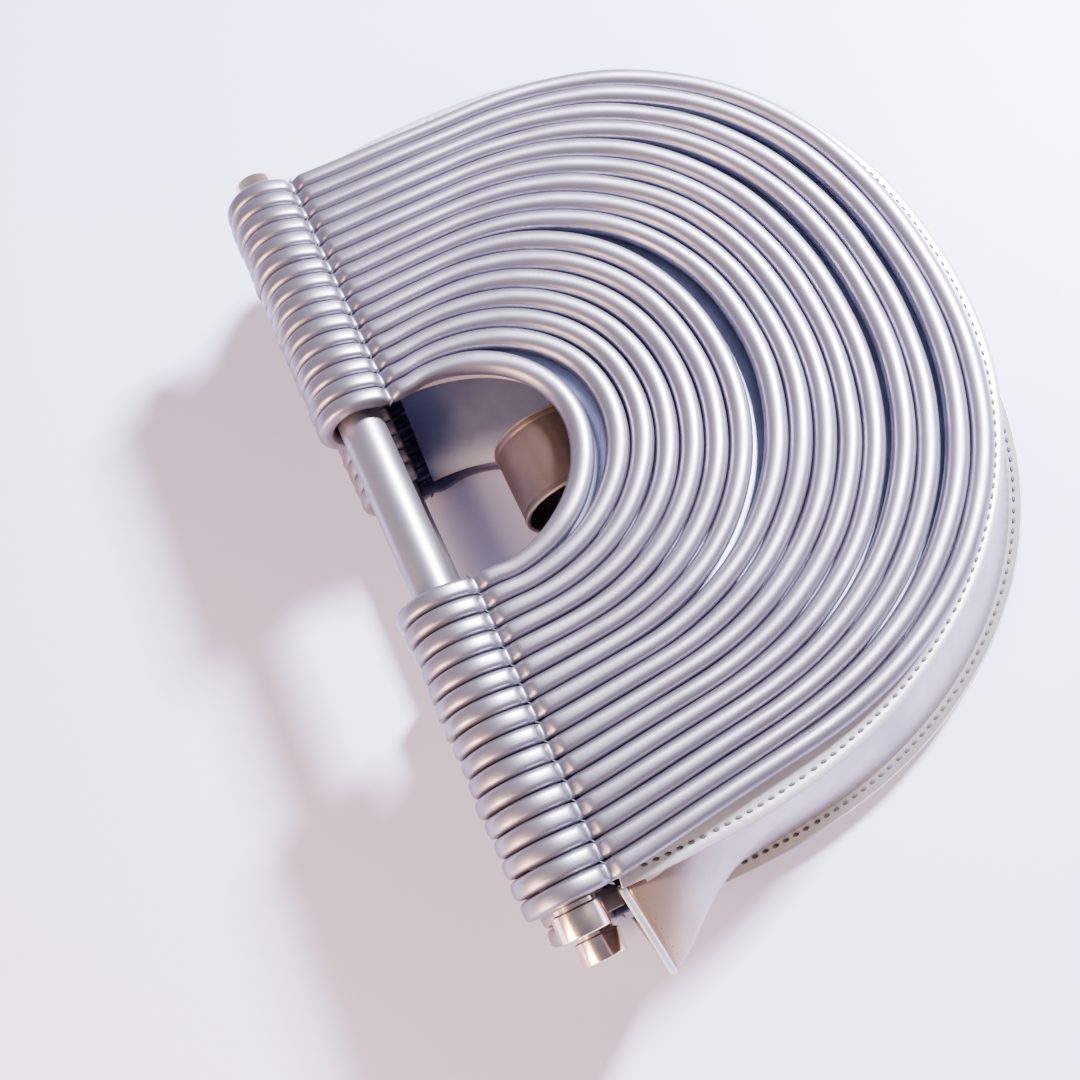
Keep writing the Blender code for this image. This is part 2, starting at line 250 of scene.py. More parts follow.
# %% Grain group
grain_group, grain_in, grain_out = make_group(
    "leather_grain", [("Vector", "NodeSocketVector", None), ("Scale", "NodeSocketFloat", 900.0)],
    [("Height", "NodeSocketFloat"), ("Tone", "NodeSocketFloat")])
pebbles = grain_group.nodes.new("ShaderNodeTexVoronoi")
pebbles.feature = "SMOOTH_F1"
grain_group.links.new(grain_in.outputs["Vector"], pebbles.inputs["Vector"])
grain_group.links.new(grain_in.outputs["Scale"], pebbles.inputs["Scale"])
fine = noise(grain_group, grain_in.outputs["Vector"], 2600.0, 3.0)
pebble_height = math_node(grain_group, "MULTIPLY", pebbles.outputs["Distance"], 0.7)
fine_height = math_node(grain_group, "MULTIPLY", fine, 0.5)
grain_height = math_node(grain_group, "ADD", pebble_height, fine_height)
grain_group.links.new(grain_height, grain_out.inputs["Height"])
slow = noise(grain_group, grain_in.outputs["Vector"], 38.0, 3.0)
grain_group.links.new(slow, grain_out.inputs["Tone"])

# %% Cross wrinkles group
wrinkle_group, wrinkle_in, wrinkle_out = make_group(
    "cross_wrinkles", [("Roll", "NodeSocketVector", None)], [("Height", "NodeSocketFloat")])
tick_place = stretch(wrinkle_group, wrinkle_in.outputs["Roll"], (560, 110, 1))
patch_place = stretch(wrinkle_group, wrinkle_in.outputs["Roll"], (26, 210, 1))
ticks = noise(wrinkle_group, tick_place, 1.0, 1.0, 0.5)
where = noise(wrinkle_group, patch_place, 1.0, 2.0, 0.6)
wrinkle_height = math_node(wrinkle_group, "MULTIPLY", spread(wrinkle_group, ticks, 0.42, 0.68),
                           spread(wrinkle_group, where, 0.5, 0.66))
wrinkle_group.links.new(wrinkle_height, wrinkle_out.inputs["Height"])

# %% Leather materials


def leather(name, light, dark, metallic, roughness, grain_scale, grain_depth,
            wrinkles=0.0, crease_shade_colour=None, mouth_shade_colour=None):
    """Metallic leather whose tone runs between two colours.

    The crease colour is painted shade on the flanks and below, by the depth attribute, and the
    mouth colour is painted shade and warm light, a peach tone that it takes near the mouth.
    """
    material = bpy.data.materials.new(name)
    material.use_nodes = True
    tree = material.node_tree
    shader = tree.nodes["Principled BSDF"]
    shader.inputs["Metallic"].default_value = metallic
    place = tree.nodes.new("ShaderNodeTexCoord")
    grain = tree.nodes.new("ShaderNodeGroup")
    grain.node_tree = grain_group
    grain.inputs["Scale"].default_value = grain_scale
    tree.links.new(place.outputs["Object"], grain.inputs["Vector"])
    tone = tree.nodes.new("ShaderNodeMix")
    tone.data_type = "RGBA"
    tone.inputs["A"].default_value = (*light, 1)
    tone.inputs["B"].default_value = (*dark, 1)
    tree.links.new(spread(tree, grain.outputs["Tone"], 0.3, 0.7), tone.inputs["Factor"])
    colour = tone.outputs["Result"]
    # Painted shade: the crease colour is mixed in where the depth attribute is high, on flanks and
    # undersides where shade falls between ribs.
    if crease_shade_colour:
        depth = tree.nodes.new("ShaderNodeAttribute")
        depth.attribute_name = "depth"
        crease_shade = tree.nodes.new("ShaderNodeMix")
        crease_shade.data_type = "RGBA"
        crease_shade.inputs["B"].default_value = (*crease_shade_colour, 1)
        tree.links.new(colour, crease_shade.inputs["A"])
        tree.links.new(depth.outputs["Fac"], crease_shade.inputs["Factor"])
        colour = crease_shade.outputs["Result"]
    # Painted shade and warm light: a peach tone mixed in towards the mouth, standing in for the
    # shading of the folded wing.
    if mouth_shade_colour:
        parts = tree.nodes.new("ShaderNodeSeparateXYZ")
        tree.links.new(place.outputs["Object"], parts.inputs[0])
        mouth_shade = tree.nodes.new("ShaderNodeMix")
        mouth_shade.data_type = "RGBA"
        mouth_shade.inputs["B"].default_value = (*mouth_shade_colour, 1)
        tree.links.new(colour, mouth_shade.inputs["A"])
        near_mouth = spread(tree, parts.outputs["Y"], 70 * MM, 118 * MM)
        tree.links.new(near_mouth, mouth_shade.inputs["Factor"])
        colour = mouth_shade.outputs["Result"]
    tree.links.new(colour, shader.inputs["Base Color"])
    uneven = spread(tree, grain.outputs["Tone"], 0.25, 0.75, roughness - 0.05, roughness + 0.06)
    tree.links.new(uneven, shader.inputs["Roughness"])
    bump = tree.nodes.new("ShaderNodeBump")
    bump.inputs["Distance"].default_value = grain_depth
    bump.inputs["Strength"].default_value = 1.0
    tree.links.new(grain.outputs["Height"], bump.inputs["Height"])
    normal = bump.outputs["Normal"]
    if wrinkles:
        rolled = tree.nodes.new("ShaderNodeGroup")
        rolled.node_tree = wrinkle_group
        roll = tree.nodes.new("ShaderNodeUVMap")
        roll.uv_map = "roll"
        tree.links.new(roll.outputs["UV"], rolled.inputs["Roll"])
        second = tree.nodes.new("ShaderNodeBump")
        second.inputs["Distance"].default_value = wrinkles
        second.inputs["Strength"].default_value = 1.0
        crown = tree.nodes.new("ShaderNodeAttribute")
        crown.attribute_name = "depth"
        crown_only = math_node(tree, "MULTIPLY", rolled.outputs["Height"],
                               spread(tree, crown.outputs["Fac"], 0.0, 0.04, 1.0, 0.0))
        tree.links.new(crown_only, second.inputs["Height"])
        tree.links.new(normal, second.inputs["Normal"])
        normal = second.outputs["Normal"]
    tree.links.new(normal, shader.inputs["Normal"])
    return material


def plain(name, colour, metallic, roughness):
    """Material for small hard pieces, with a slow change of roughness over the surface."""
    material = bpy.data.materials.new(name)
    material.use_nodes = True
    tree = material.node_tree
    shader = tree.nodes["Principled BSDF"]
    shader.inputs["Base Color"].default_value = (*colour, 1)
    shader.inputs["Metallic"].default_value = metallic
    place = tree.nodes.new("ShaderNodeTexCoord")
    smear = noise(tree, place.outputs["Object"], 160.0, 2.0)
    uneven = spread(tree, smear, 0.3, 0.7, roughness, roughness + 0.05)
    tree.links.new(uneven, shader.inputs["Roughness"])
    return material


# The dark blue crease colour of the ribs is painted shade in the gaps between them.
RIB_LEATHER = leather("rib_leather", (0.285, 0.26, 0.325), (0.225, 0.205, 0.265),
                      0.88, 0.39, 1500, 0.03 * MM,
                      wrinkles=0.014 * MM, crease_shade_colour=(0.05, 0.055, 0.14))
ROD_LEATHER = leather("rod_leather", (0.34, 0.32, 0.38), (0.30, 0.28, 0.34),
                      0.88, 0.36, 1500, 0.03 * MM)
FLANGE_LEATHER = leather("flange_leather", (0.62, 0.60, 0.68), (0.54, 0.52, 0.60),
                         0.6, 0.36, 1100, 0.05 * MM)
# The blue of the channel sheet is partly its own tone and partly painted cool shade in the gaps
# between the ribs.
CHANNEL_SHADED_LEATHER = leather("channel_leather_painted_shade", (0.38, 0.41, 0.58), (0.29, 0.31, 0.46),
                          0.5, 0.42, 1100, 0.04 * MM)
# The gusset's darker base is partly painted shade on its standing wall, and its peach mouth colour
# is painted shade and warm light on the folded wing.
GUSSET_SHADED_LEATHER = leather("gusset_leather_painted_shade", (0.42, 0.385, 0.42), (0.33, 0.30, 0.34),
                         0.8, 0.32, 900, 0.05 * MM, mouth_shade_colour=(0.40, 0.255, 0.18))
STRAP_LEATHER = leather("strap_leather", (0.135, 0.09, 0.08), (0.10, 0.068, 0.06),
                        0.6, 0.42, 620, 0.16 * MM)
PIPING_LEATHER = leather("piping_leather", (0.30, 0.22, 0.205), (0.25, 0.185, 0.17),
                         0.5, 0.38, 900, 0.05 * MM)
DARK_LEATHER = leather("dark_strap_leather", (0.12, 0.11, 0.13), (0.08, 0.07, 0.09),
                       0.1, 0.42, 900, 0.05 * MM)
THREAD = plain("dark_thread", (0.05, 0.045, 0.06), 0.0, 0.6)
EDGE_PAINT = plain("edge_paint", (0.34, 0.27, 0.25), 0.1, 0.4)
ROSE_GOLD = plain("rose_gold", (0.92, 0.73, 0.62), 1.0, 0.17)

# %% [markdown]
# ## Making a piece
# Three helpers make the pieces: one turns a bmesh into an object that rides on the bag, one
# makes a flat grid, which is then laid over a surface, and one rolls such a grid round a line.
# Rolling a grid is what the maker does too, who folds a strip of leather round a cord.

# %% Finish a piece
WELD = 0.001 * MM


def piece(name, bm, materials, replaces=()):
    """Object from a bmesh, riding on the bag, with its faces pointing outwards."""
    bmesh.ops.remove_doubles(bm, verts=bm.verts, dist=WELD)
    bmesh.ops.recalc_face_normals(bm, faces=bm.faces)
    mesh = bpy.data.meshes.new(name)
    bm.to_mesh(mesh)
    bm.free()
    for material in materials:
        mesh.materials.append(material)
    mesh.shade_smooth()
    obj = bpy.data.objects.new(name, mesh)
    bpy.context.scene.collection.objects.link(obj)
    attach(obj, "root")
    for node in replaces:
        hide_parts(node)
    return obj


def grid(columns, rows):
    """Flat grid with its two data layers, and the (column, row) of each of its vertices."""
    bm = bmesh.new()
    bmesh.ops.create_grid(bm, x_segments=columns - 1, y_segments=rows - 1, size=1.0)
    bm.loops.layers.uv.new("roll")
    bm.verts.layers.float.new("depth")
    where_is = {}
    for vertex in bm.verts:
        column = round((vertex.co.x + 1) / 2 * (columns - 1))
        row = round((vertex.co.y + 1) / 2 * (rows - 1))
        where_is[vertex] = (column, row)
    return bm, where_is


def rolled(centres, across, out, half_widths, half_heights, powers, sides, lengths,
           crease_shade=None):
    """Strip rolled round a line, all given as arrays with a row for each station.

    The section is a superellipse. The UV map roll holds metres along and round the strip, and
    depth is 0 on the crown and the crease shade share, or 1, on the flanks and below; it weighs
    the painted shade of the creases.
    """
    crease_shade = np.ones(len(centres)) if crease_shade is None else crease_shade
    bm, where_is = grid(len(centres), sides + 1)
    roll = bm.loops.layers.uv["roll"]
    depth = bm.verts.layers.float["depth"]
    for vertex, (i, j) in where_is.items():
        angle = 2 * math.pi * j / sides
        c, s = math.cos(angle), math.sin(angle)
        x = math.copysign(abs(c) ** (2 / powers[i]), c) * half_widths[i]
        y = s * half_heights[i]
        vertex.co = centres[i] + across[i] * x + out[i] * y
        # Painted shade weight: 0 on the crown, rising on the flanks and below where the ribs shade
        # each other.
        vertex[depth] = crease_shade[i] * min(max(0.5 - s * 0.62, 0.0), 1.0) ** 2
    for face in bm.faces:
        for loop in face.loops:
            i, j = where_is[loop.vert]
            loop[roll].uv = (lengths[i], j / sides * math.pi * (half_widths[i] + half_heights[i]))
    bmesh.ops.remove_doubles(bm, verts=bm.verts, dist=WELD)
    rims = [edge for edge in bm.edges if edge.is_boundary]
    bmesh.ops.holes_fill(bm, edges=rims, sides=0)
    return bm


# %% [markdown]
# ## The line of a rib
# A rib starts with a tail under its rod, goes round the rod, dips where it is stitched down just
# behind it, and then runs round the hand opening to the other end. The line is written as a
# rough chain of points, cut into half millimetres, and smoothed by a running mean.

# %% Sizes of the ribs
RIB_COUNT = 16
HANDLE_LENGTH = 84 * MM
RIB_PITCH = (ROD_LENGTH - HANDLE_LENGTH) / 2 / RIB_COUNT
FIRST_RIB_DEPTH = 81.5 * MM
RIB_STEP = 11 * MM
WIDE_GAPS = {1: 5.5 * MM, 7: 6.5 * MM, 12: 3.5 * MM, 14: 3.5 * MM}
RIB_SPREAD = (1.1 * MM, 0.1 * MM)
RIB_SHOULDER = (29 * MM, 100 * MM)
ARC_POWER = (2.0, 2.2)
WRAP_RADIUS = 15.1 * MM
RIB_LEVEL = 11.8 * MM
SEAM_REACH = 13.6 * MM
SEAM_LEVEL = 11.4 * MM
FAN_START = 24 * MM
TAIL_REACH = 12 * MM
STATION = 0.5 * MM


def blend(pair, share):
    """Value between the two of a pair."""
    return pair[0] + (pair[1] - pair[0]) * share


def at_rod(number):
    """Place of a rib along its rod."""
    return HANDLE_LENGTH / 2 + (number - 0.5) * RIB_PITCH


def rib_depth(number):
    """Apex depth of a rib, numbered from 1 at the hand opening."""
    gaps = sum(gap for after, gap in WIDE_GAPS.items() if number > after)
    return FIRST_RIB_DEPTH + (number - 1) * RIB_STEP + gaps


def arch(start, half_width, shoulder, depth, power):
    """Half of a nested arch in (u, v), from near the rod to the apex."""
    points = []
    for share in np.linspace(0, 1, 12, endpoint=False):
        bulge = math.sin(share * math.pi / 2)
        points.append((start[0] + (half_width - start[0]) * bulge,
                       start[1] + (shoulder - start[1]) * share))
    for angle in np.linspace(0, math.pi / 2, 60):
        points.append((half_width * max(math.cos(angle), 0) ** (2 / power),
                       shoulder + (depth - shoulder) * math.sin(angle) ** (2 / power)))
    return points


def along(points):
    """Length along a chain of points, at each of them."""
    steps = np.linalg.norm(np.diff(points, axis=0), axis=1)
    return np.concatenate([[0], np.cumsum(steps)])


def resample(points, lengths_wanted):
    """Points of a chain at the lengths wanted."""
    lengths = along(points)
    return np.column_stack([np.interp(lengths_wanted, lengths, values) for values in points.T])


def running_mean(values, reach):
    """Mean over reach rows to both sides, the ends kept."""
    padded_values = np.pad(values, ((reach, reach), (0, 0)), mode="edge")
    kernel = np.ones(2 * reach + 1) / (2 * reach + 1)
    return np.column_stack([np.convolve(column, kernel, "valid") for column in padded_values.T])


def rib_chain(number, panel):
    """Dense smooth centre line of a rib, in its panel's frame."""
    share = (number - 1) / (RIB_COUNT - 1)
    u = at_rod(number)
    half = [(u, TAIL_REACH, 1.2 * MM - WRAP_RADIUS), (u, TAIL_REACH / 2, 0.2 * MM - WRAP_RADIUS)]
    for degrees in range(-90, 111, 10):
        angle = math.radians(degrees)
        half.append((u, -WRAP_RADIUS * math.cos(angle), WRAP_RADIUS * math.sin(angle)))
    half.append((u, SEAM_REACH, SEAM_LEVEL))
    outline = arch((u, FAN_START), u + blend(RIB_SPREAD, share), blend(RIB_SHOULDER, share),
                   rib_depth(number), blend(ARC_POWER, share))
    half += [(across, v, RIB_LEVEL) for across, v in outline]
    whole = np.array(half + [(-a, v, n) for a, v, n in reversed(half[:-1])])
    whole[:, 0] += lean(panel, whole[:, 1])
    total = along(whole)[-1]
    dense = resample(whole, np.arange(0, total, STATION))
    return running_mean(running_mean(dense, 5), 4)


CHAINS = {name: [rib_chain(number, panel) for number in range(1, RIB_COUNT + 1)]
          for name, panel in PANELS.items()}
print("longest rib, mm:", round(along(CHAINS["front"][-1])[-1] / MM))

# %% [markdown]
# ## The section of a rib
# A padded rib swells until it nearly touches its neighbours, but never past the thickness of
# its cord. So its width comes from the distance to the two next lines. At the stitched seam it
# is pinched flat, with small gathers to both sides.

# %% Widths and pinches
CORD_HALF = 5.05 * MM
TOUCH_GAP = 0.14 * MM
PINCH_REACH = 2.8 * MM
PINCH_SHARE = 0.52
GATHER_REACH = 5.5 * MM
GATHER_PITCH = 1.25 * MM
HEIGHT_LIMIT = 4.9 * MM
SQUARE_REACH = 48 * MM
FAN_EASE = 20 * MM
SEAM_ZONE = 6 * MM
SEAM_STEP = 0.7 * MM
WRAP_STEP = 1.6 * MM
WANDER = 0.15 * MM
WANDER_WAVES = (0.16, 0.09, 0.05)
WANDER_FADE = 12 * MM


def spacing(line, other):
    """Distance from each point of a line to another line."""
    coarse = other[::4]
    return np.array([np.sqrt(((coarse - point) ** 2).sum(1).min()) for point in line])


def free_half(name, index):
    """Half width of a rib that its neighbours leave free, at each point of its line."""
    line = CHAINS[name][index]
    near = [CHAINS[name][k] for k in (index - 1, index + 1) if 0 <= k < RIB_COUNT]
    half = np.min([spacing(line, other) for other in near], axis=0) / 2 - TOUCH_GAP
    half = np.clip(half, 3.4 * MM, CORD_HALF)
    return running_mean(half[:, None], 12)[:, 0]


def seam_places(line):
    """Lengths along a rib at which its two seams lie."""
    lengths = along(line)
    crown = (line[:, 2] > 0) & (line[:, 1] > SEAM_REACH)
    inside = np.nonzero(crown)[0]
    return lengths[inside[0]], lengths[inside[-1]]


def wander(count, lengths, reach):
    """Slow sideways wander of a hand made piece: three sines with seeded phases."""
    total = np.zeros((len(lengths), count))
    for wave in WANDER_WAVES:
        for k in range(count):
            phase = random.uniform(0, 2 * math.pi)
            stretch_by = random.uniform(0.8, 1.2)
            total[:, k] += np.sin(lengths / (wave * stretch_by) * 2 * math.pi + phase)
    return total * reach / len(WANDER_WAVES)


def make_rib(name, index, sides, coarse):
    """One padded rib with its wraps, seams and gathers."""
    panel = PANELS[name]
    line = CHAINS[name][index]
    lengths = along(line)
    seams = seam_places(line)
    near_seam = np.min([np.abs(lengths - seam) for seam in seams], axis=0)
    in_fan = (lengths > seams[0]) & (lengths < seams[1])
    step = np.where(near_seam < SEAM_ZONE, SEAM_STEP, np.where(in_fan, coarse, WRAP_STEP))
    count = np.concatenate([[0], np.cumsum(np.diff(lengths) / step[1:])])
    wanted = np.interp(np.arange(0, count[-1]), count, lengths)
    half = np.interp(wanted, lengths, free_half(name, index))
    near = np.interp(wanted, lengths, near_seam)
    points = resample(line, wanted)
    tangents = np.gradient(points, axis=0)
    tangents /= np.linalg.norm(tangents, axis=1)[:, None]
    fan = np.clip(points[:, 1] / FAN_EASE, 0, 1) * (points[:, 2] > 0)
    round_rod = points * (0, 1, 1)
    round_rod /= np.linalg.norm(round_rod, axis=1)[:, None]
    up = round_rod * (1 - fan)[:, None] + np.array((0, 0, 1.0)) * fan[:, None]
    across = np.cross(tangents, up)
    across /= np.linalg.norm(across, axis=1)[:, None]
    out = np.cross(across, tangents)
    pinch = np.exp(-(near / PINCH_REACH) ** 2)
    gather = np.exp(-(near / GATHER_REACH) ** 2)
    width = half * (1 - 0.05 * pinch)
    flat = np.clip((points[:, 1] - 20 * MM) / (60 * MM), 0, 1)
    height = np.minimum(half, HEIGHT_LIMIT) * (1.0 - 0.05 * flat)
    moves = wander(2, wanted, WANDER)
    height = height * (1 - random.uniform(0, 0.14) * (1 - fan))
    points = points + out * (random.uniform(-0.7, 0.4) * MM * (1 - fan))[:, None]
    fade = np.clip(near / WANDER_FADE, 0, 1)[:, None]
    points = points + across * (moves[:, :1] * fade) + out * (moves[:, 1:] * fade * 1.6)
    points = points - out * (height * PINCH_SHARE * 0.55 * pinch)[:, None]
    height = height * (1 - PINCH_SHARE * pinch)
    ripple = 1 + 0.02 * gather * np.sin(wanted / GATHER_PITCH + index)
    powers = 2.1 + 2.0 * np.exp(-(np.maximum(points[:, 1], 0) / SQUARE_REACH) ** 2)
    # Painted shade in the creases is weaker on the wraps than on the fan.
    bm = rolled(points, across, out, width, height * ripple, powers, sides, wanted,
                crease_shade=0.25 + 0.75 * fan)
    bmesh.ops.transform(bm, matrix=panel["matrix"], verts=bm.verts)
    node = "%s_rib_%02d" % (name, index + 1)
    obj = piece("padded_" + node, bm, [RIB_LEATHER], replaces=[node])
    return obj


# %% Make the ribs
RIB_DETAIL = {"front": (22, 2.4 * MM), "back": (16, 4.0 * MM)}
for name, (sides, coarse) in RIB_DETAIL.items():
    made = [make_rib(name, index, sides, coarse) for index in range(RIB_COUNT)]
    print(name, "ribs:", len(made), "triangles:", sum(len(o.data.polygons) for o in made) * 2)

# %% [markdown]
# ## Rods and caps
# The rods are wooden bars covered with smooth leather. A cap is turned metal: a short neck and
# a round head whose rim is rounded and whose face is a hair lower than its rim.

# %% Rods
ROD_RADIUS = 9.6 * MM


def make_rod(name):
    """Covered rod with softly rounded ends."""
    bm = bmesh.new()
    bmesh.ops.create_cone(bm, cap_ends=True, segments=72, radius1=ROD_RADIUS, radius2=ROD_RADIUS,
                          depth=ROD_LENGTH)
    rims = [edge for edge in bm.edges if abs(edge.verts[0].co.z - edge.verts[1].co.z) < MM]
    bmesh.ops.bevel(bm, geom=rims, offset=0.8 * MM, segments=3, profile=0.5, affect="EDGES",
                    material=-1)
    turn = Matrix.Rotation(math.pi / 2, 4, "Y")
    bmesh.ops.transform(bm, matrix=PANELS[name]["matrix"] @ turn, verts=bm.verts)
    obj = piece("covered_%s_rod" % name, bm, [ROD_LEATHER],
                replaces=[name + "_rod"])
    obj.data.set_sharp_from_angle(angle=math.radians(50))


for name in PANELS:
    make_rod(name)

# %% Caps
CAP_GAP = 0.3 * MM
CAP_PROFILE = ((0, 0), (8.4, 0), (8.4, 1.5), (8.8, 1.8), (9.6, 1.9), (9.85, 2.2), (9.85, 10.7),
               (9.75, 11.1), (9.45, 11.4), (9.0, 11.5), (8.75, 11.35), (0, 11.35))


def make_cap(name, end):
    """Polished cap at one end of a rod, a profile spun once round."""
    bm = bmesh.new()
    verts = [bm.verts.new((r * MM, 0, z * MM)) for r, z in CAP_PROFILE]
    edges = [bm.edges.new(pair) for pair in zip(verts, verts[1:])]
    bmesh.ops.spin(bm, geom=verts + edges, cent=(0, 0, 0), axis=(0, 0, 1),
                   angle=2 * math.pi, steps=72, use_merge=True)
    facing = Matrix.Rotation(end * math.pi / 2, 4, "Y")
    place = Matrix.Translation((end * (ROD_LENGTH / 2 + CAP_GAP), 0, 0)) @ facing
    bmesh.ops.transform(bm, matrix=PANELS[name]["matrix"] @ place, verts=bm.verts)
    node = "%s_cap_%s" % (name, "right" if end > 0 else "left")
    obj = piece("polished_" + node, bm, [ROSE_GOLD], replaces=[node])
    obj.data.set_sharp_from_angle(angle=math.radians(35))


for name in PANELS:
    for end in (-1, 1):
        make_cap(name, end)

# %% [markdown]
# ## Flanges
# Behind the ribs lies a sheet of leather. Its rim stands out past the last rib, is stitched to
# the gusset a few millimetres from its edge, and has a painted edge. The sheet starts as a grid
# between the hand opening and the rim, and its surface sinks along the stitches.

# %% Rim and opening lines
SHEET_TOP = 6.5 * MM
SHEET_THICKNESS = 1.4 * MM
RIM_BESIDE_AT_ROD = 3.2 * MM
RIM_BESIDE = 14 * MM
RIM_BELOW = 17 * MM
RIM_SHOULDER = 90 * MM
RIM_POWER = 2.15
STITCH_INSET = 4.2 * MM
STITCH_PITCH = 5.0 * MM
GUSSET_THICKNESS = 1.2 * MM
SEAM_ALLOWANCE = 6.5 * MM
GUSSET_INSET = 1.0 * MM
WING_REACH = 28 * MM
WING_FADE = 34 * MM
WING_SET_BACK = 9 * MM
GUSSET_SINK = 6 * MM
FOLD_ROUNDING = 0.012
GUSSET_COLUMNS = 260
GUSSET_LEVEL = SHEET_TOP - SHEET_THICKNESS - 0.4 * MM - GUSSET_THICKNESS / 2


def whole_line(half):
    """Line round the apex from its half, as an array."""
    return np.array(half + [(-u, v) for u, v in reversed(half[:-1])])


RIM = whole_line(arch((at_rod(RIB_COUNT + 0.5) + RIM_BESIDE_AT_ROD, SHEET_START),
                      at_rod(RIB_COUNT) + RIB_SPREAD[1] + RIM_BESIDE, RIM_SHOULDER,
                      rib_depth(RIB_COUNT) + RIM_BELOW, RIM_POWER))
OPENING = whole_line(arch((at_rod(1), SHEET_START), at_rod(1), SHEET_START + 0.1 * MM,
                          FIRST_RIB_DEPTH, 2.0))
RIM_LENGTH = along(RIM)[-1]


def rim_frame(count):
    """Points round the rim at even lengths, and their directions outwards, in (u, v)."""
    points = running_mean(resample(RIM, np.linspace(0, RIM_LENGTH, count)), 2)
    tangents = np.gradient(points, axis=0)
    tangents /= np.linalg.norm(tangents, axis=1)[:, None]
    outwards = np.column_stack([tangents[:, 1], -tangents[:, 0]])
    return points, outwards


# %% Sheets with their flanges
FLANGE_COLUMNS = 900
FLANGE_INSETS = (26, 18, 12, 9, 7.4, 6.4, 5.4, 4.8, 4.2, 3.6, 3.0, 2.2, 1.2, 0.5, 0.0)


def flange_height(inset, length, phase):
    """Relief of the flange: a sunk stitch line with a pucker at each stitch, and a soft rim."""
    line = math.exp(-((inset - STITCH_INSET) / (1.5 * MM)) ** 2)
    stitch = 0.5 + 0.5 * math.cos(2 * math.pi * length / STITCH_PITCH)
    gathered = 0.03 + 0.14 * math.exp(-(min(length, RIM_LENGTH - length) / (80 * MM)) ** 2)
    pucker = math.exp(-((inset - STITCH_INSET) / (3.6 * MM)) ** 2) * stitch
    swell = (0.5 * math.sin(length / (31 * MM) + phase)
             + 0.5 * math.sin(length / (17 * MM) + 2 * phase))
    rim = math.exp(-(inset / (1.0 * MM)) ** 2)
    edge_fall = math.exp(-inset / (9 * MM))
    return (-0.25 * line - gathered * pucker - 0.35 * rim
            - 0.9 * edge_fall + 0.35 * swell * edge_fall) * MM


def make_sheet(name, phase):
    """Sheet of a panel: its channel floor behind the ribs and its stitched flange."""
    panel = PANELS[name]
    points, outwards = rim_frame(FLANGE_COLUMNS)
    opening = resample(OPENING, np.linspace(0, along(OPENING)[-1], FLANGE_COLUMNS))
    inner_rows = 7
    insets = [inset * MM for inset in FLANGE_INSETS]
    bm, where_is = grid(FLANGE_COLUMNS, inner_rows + len(insets))
    lengths = np.linspace(0, RIM_LENGTH, FLANGE_COLUMNS)
    for vertex, (i, j) in where_is.items():
        fence = points[i] - outwards[i] * insets[0]
        if j < inner_rows:
            u, v = opening[i] + (fence - opening[i]) * (j / inner_rows)
            height = 0.0
        else:
            inset = insets[j - inner_rows]
            u, v = points[i] - outwards[i] * inset
            height = flange_height(inset, lengths[i], phase)
        v = max(v, SHEET_START)
        vertex.co = (u + float(lean(panel, v)), v, SHEET_TOP + height)
    for face in bm.faces:
        row = max(where_is[vertex][1] for vertex in face.verts)
        # The channel rows behind the ribs get the channel leather with its painted cool shade.
        face.material_index = 1 if row <= inner_rows + 1 else 0
    bmesh.ops.transform(bm, matrix=panel["matrix"], verts=bm.verts)
    obj = piece("%s_sheet" % name, bm, [FLANGE_LEATHER, CHANNEL_SHADED_LEATHER, EDGE_PAINT],
                replaces=[name + "_backing"])
    up = panel["matrix"].to_3x3() @ Vector((0, 0, 1))
    if obj.data.polygons[0].normal.dot(up) < 0:
        obj.data.flip_normals()
    thick = obj.modifiers.new("thickness", "SOLIDIFY")
    thick.thickness = SHEET_THICKNESS
    thick.offset = -1
    thick.material_offset_rim = 2


SWELL_PHASES = {"front": 0.4, "back": 2.1}
for name, phase in SWELL_PHASES.items():
    make_sheet(name, phase)

# %% [markdown]
# ## Stitches
# A stitch is a short thread that dives into a hole. One small rounded bead is made for each and
# all of a row are one mesh, because hundreds of objects would be slow.

# %% Beads in rows


def bead_row(name, places, material):
    """Row of small beads; a place is (centre, along, up, half length, half width, half height)."""
    bm = bmesh.new()
    for centre, direction, up, length, width, height in places:
        x = Vector(direction).normalized()
        z = Vector(up) - x * Vector(up).dot(x)
        z.normalize()
        y = z.cross(x)
        turn = Matrix((x * length, y * width, z * height)).transposed().to_4x4()
        bmesh.ops.create_uvsphere(bm, u_segments=8, v_segments=5, radius=1.0,
                                  matrix=Matrix.Translation(centre) @ turn)
    return piece(name, bm, [material])


def flange_stitches(name, phase, inside):
    """Dark stitches round a flange, on its outer face or on the gusset's strip inside it."""
    panel = PANELS[name]
    count = int(RIM_LENGTH / STITCH_PITCH)
    points, outwards = rim_frame(FLANGE_COLUMNS)
    lengths = np.linspace(0, RIM_LENGTH, FLANGE_COLUMNS)
    turn = panel["matrix"].to_3x3()
    places = []
    for k in range(2, count - 1):
        length = k * STITCH_PITCH
        i = int(round(length / RIM_LENGTH * (FLANGE_COLUMNS - 1)))
        u, v = points[i] - outwards[i] * STITCH_INSET
        if v < SHEET_START + 4 * MM:
            continue
        height = SHEET_TOP + flange_height(STITCH_INSET, lengths[i], phase) + 0.05 * MM
        if inside:
            height = GUSSET_LEVEL - GUSSET_THICKNESS / 2 - 0.05 * MM
        centre = panel["matrix"] @ Vector((u + float(lean(panel, v)), v, height))
        tangent = turn @ Vector((-outwards[i][1], outwards[i][0], 0))
        places.append((centre, tangent, turn @ Vector((0, 0, 1)), 1.6 * MM, 0.75 * MM, 0.4 * MM))
    side = "inside" if inside else "outside"
    bead_row("%s_flange_stitches_%s" % (name, side), places, THREAD)


